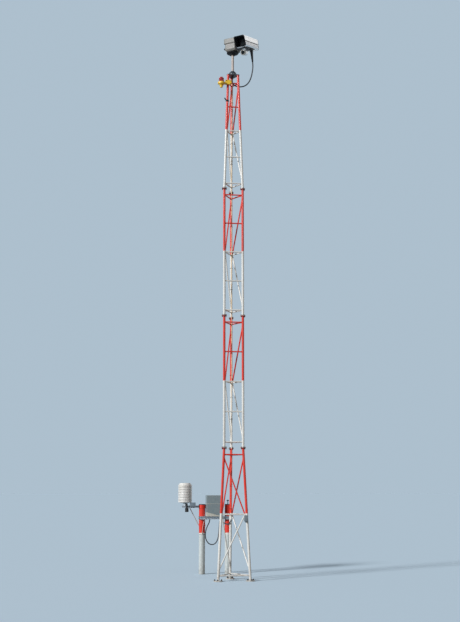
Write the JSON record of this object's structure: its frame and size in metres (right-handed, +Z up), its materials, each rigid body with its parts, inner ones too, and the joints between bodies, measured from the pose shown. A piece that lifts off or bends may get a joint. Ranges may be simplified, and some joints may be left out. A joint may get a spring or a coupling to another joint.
{
  "type": "lattice camera mast",
  "caption": "Three-legged lattice mast in red and white bands, with a pan and tilt camera on top and an equipment stand behind.",
  "frame": {"origin": "middle of the underside of the foot plate under the back leg", "axes": "+Z up, +X to the right along the front face, +Y away from the front face, towards the equipment stand"},
  "size_m": [1.4085, 2.1725, 10.5893],
  "materials": {
    "banded_paint": "gloss paint in red and white bands, weathered",
    "dark_steel": "dark grey paint",
    "pale_metal": "pale grey paint",
    "black_paint": "satin black paint",
    "black_plastic": "matt black plastic",
    "yellow_paint": "yellow paint",
    "red_glass": "red glass",
    "blue_grey_paint": "blue grey paint",
    "pale_grey_paint": "pale grey paint",
    "cable_rubber": "black rubber sheath",
    "zinc": "galvanised steel",
    "white_plastic": "white plastic",
    "silver_metal": "silver metal",
    "window_glass": "dark window glass"
  },
  "bodies": {
    "mast": {"legs_1": "banded_paint", "legs_2": "banded_paint", "legs_3": "banded_paint", "legs_4": "banded_paint", "front_bars_1": "banded_paint", "front_bars_2": "banded_paint", "front_bars_3": "banded_paint", "front_bars_4": "banded_paint", "left_bars_1": "banded_paint", "left_bars_2": "banded_paint", "left_bars_3": "banded_paint", "left_bars_4": "banded_paint", "right_bars_1": "banded_paint", "right_bars_2": "banded_paint", "right_bars_3": "banded_paint", "right_bars_4": "banded_paint", "top_plate": "dark_steel", "plate_glands": "black_plastic", "pole_socket": "dark_steel", "pole": "pale_metal", "pan_base": "black_paint", "light_bracket": "yellow_paint", "light_base": "yellow_paint", "light_dome": "red_glass", "leg_peg": "dark_steel", "leg_box": "blue_grey_paint", "mast_cable": "cable_rubber", "cable_clips": "black_plastic", "camera_cable_lower": "cable_rubber", "left_post": "banded_paint", "right_post": "banded_paint", "post_caps": "dark_steel", "stand_beam": "zinc", "beam_saddles": "zinc", "cabinet": "pale_grey_paint", "cabinet_hood": "blue_grey_paint", "cabinet_glands": "black_plastic", "cabinet_cable": "cable_rubber", "screen_arm": "zinc", "screen_box": "blue_grey_paint", "screen_base": "zinc", "louvred_screen": "white_plastic", "screen_probe": "black_plastic", "arm_brace": "zinc"},
    "pan_head": {"pan_body": "pale_grey_paint", "pan_cover": "pale_grey_paint", "camera_cable_upper": "cable_rubber"},
    "camera": {"camera_bracket": "black_paint", "camera_housing": "silver_metal", "camera_hood": "black_paint", "camera_window": "window_glass", "camera_rear": "black_paint", "under_lamp": "silver_metal", "cable_boot": "cable_rubber"}
  },
  "joints": [
    {"name": "pan", "type": "hinge", "parent": "mast", "child": "pan_head", "pos_m": [0, -0.34641, 10.3], "axis": [0, 0, 1], "range_deg": [-90, 90], "deforming": ["camera_cable_lower"]},
    {"name": "tilt", "type": "hinge", "parent": "pan_head", "child": "camera", "pos_m": [0, -0.34641, 10.446], "axis": [0.7986, -0.6018, 0], "range_deg": [-27, 48], "deforming": ["camera_cable_upper"]}
  ]
}
